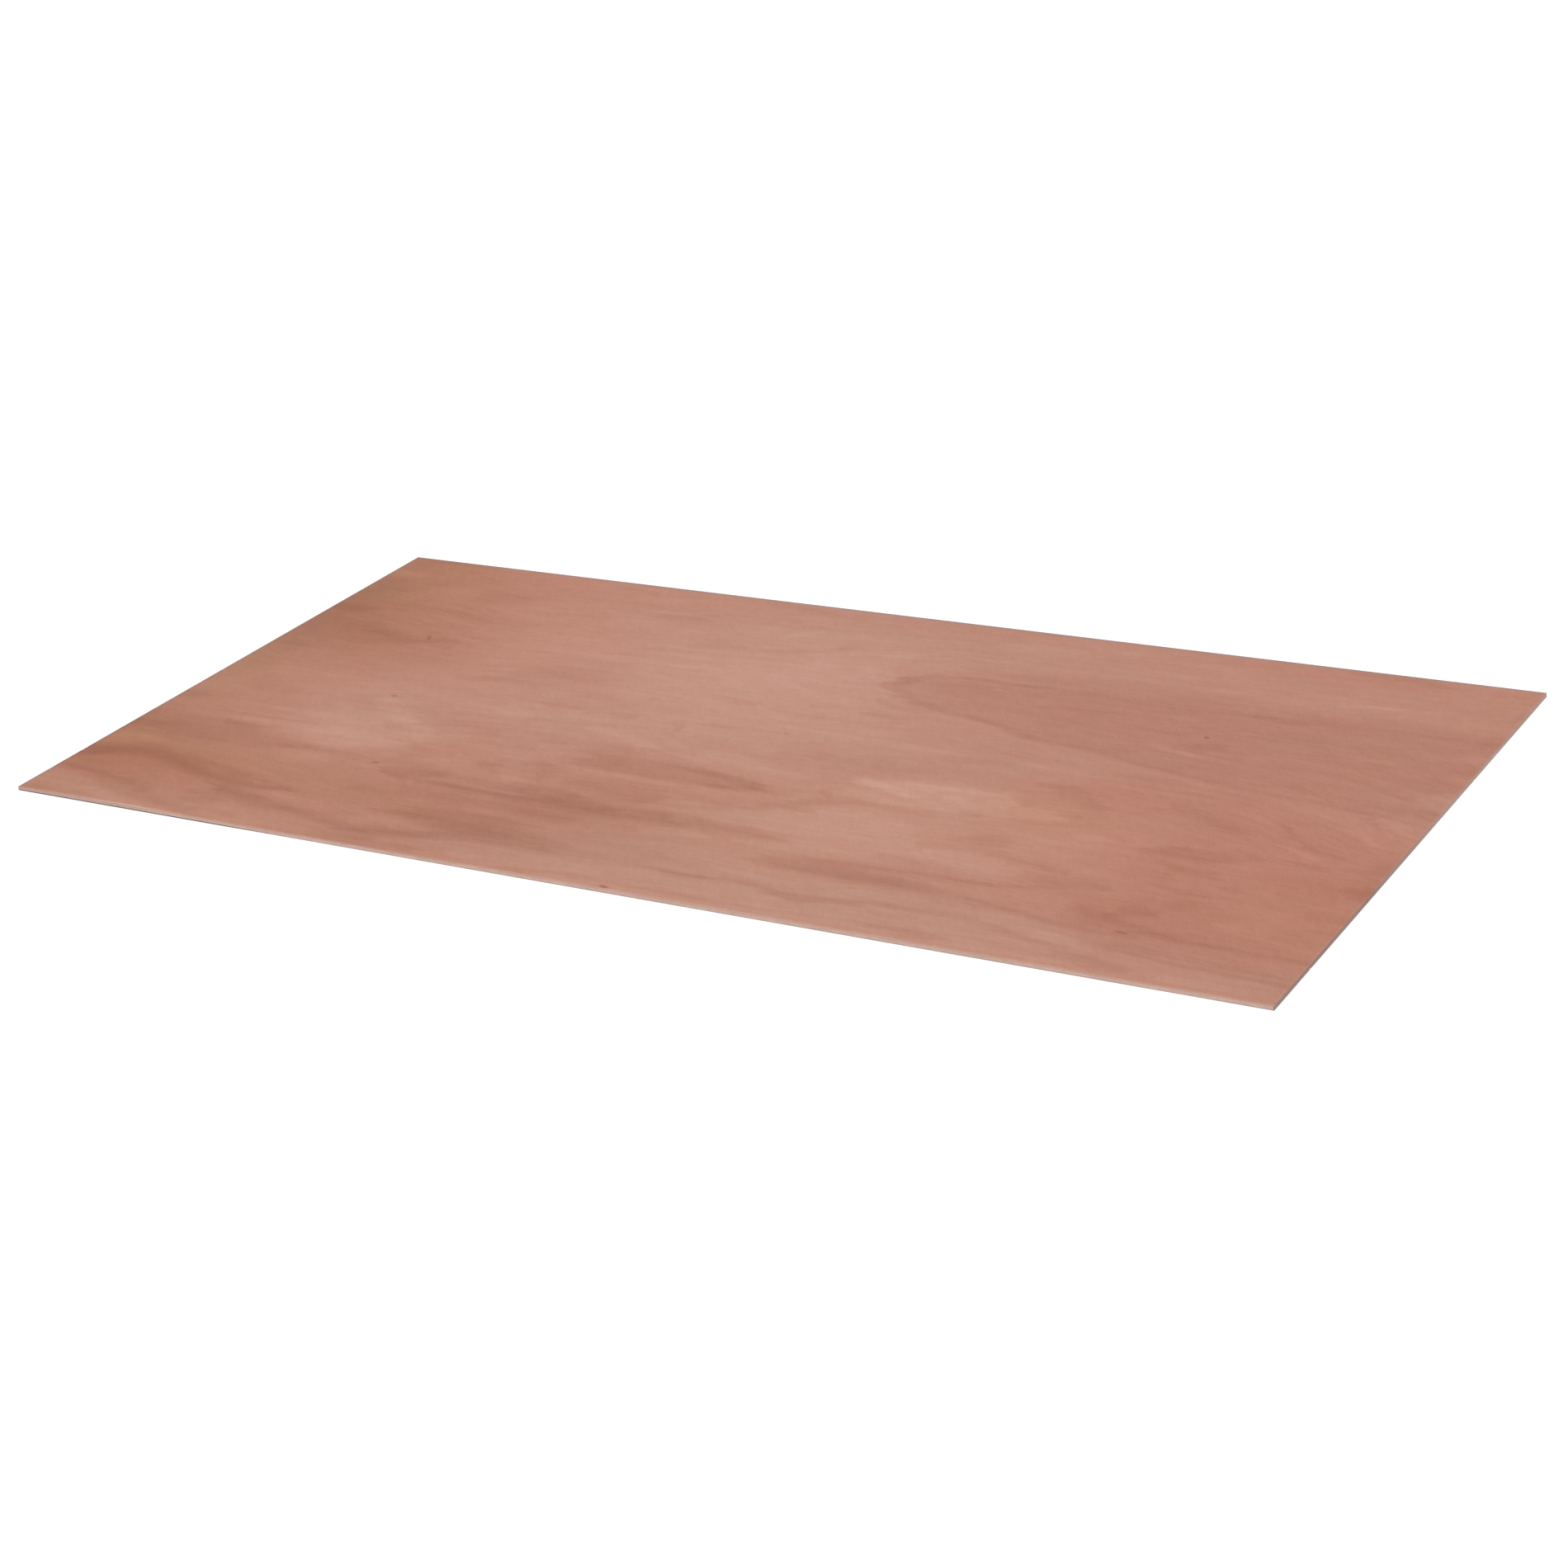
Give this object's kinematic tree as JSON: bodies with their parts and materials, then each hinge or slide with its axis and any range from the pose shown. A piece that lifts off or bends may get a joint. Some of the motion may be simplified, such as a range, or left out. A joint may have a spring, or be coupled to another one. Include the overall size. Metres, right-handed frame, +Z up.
{
  "type": "plywood sheet",
  "caption": "Thin flat rectangular plywood sheet, twice as long as it is wide, with square sawn edges and a pink-brown hardwood face.",
  "frame": {"origin": "middle of the underside, on the floor that the sheet lies on", "axes": "+X along the length and the grain of the face, +Y across the sheet, +Z up out of the face"},
  "size_m": [1.22, 0.61, 0.0036],
  "materials": {
    "face_veneer": "sanded bare rotary-cut hardwood veneer, pink-brown, matt, grain along the length",
    "core_veneer": "pale pinkish-grey crossband veneer, sawn edges, grain across the sheet",
    "back_veneer": "lightly sanded bare hardwood veneer, a little browner than the face, matt, grain along the length"
  },
  "bodies": {
    "root": {"face_veneer": "face_veneer", "core_veneer": "core_veneer", "back_veneer": "back_veneer"}
  },
  "joints": []
}
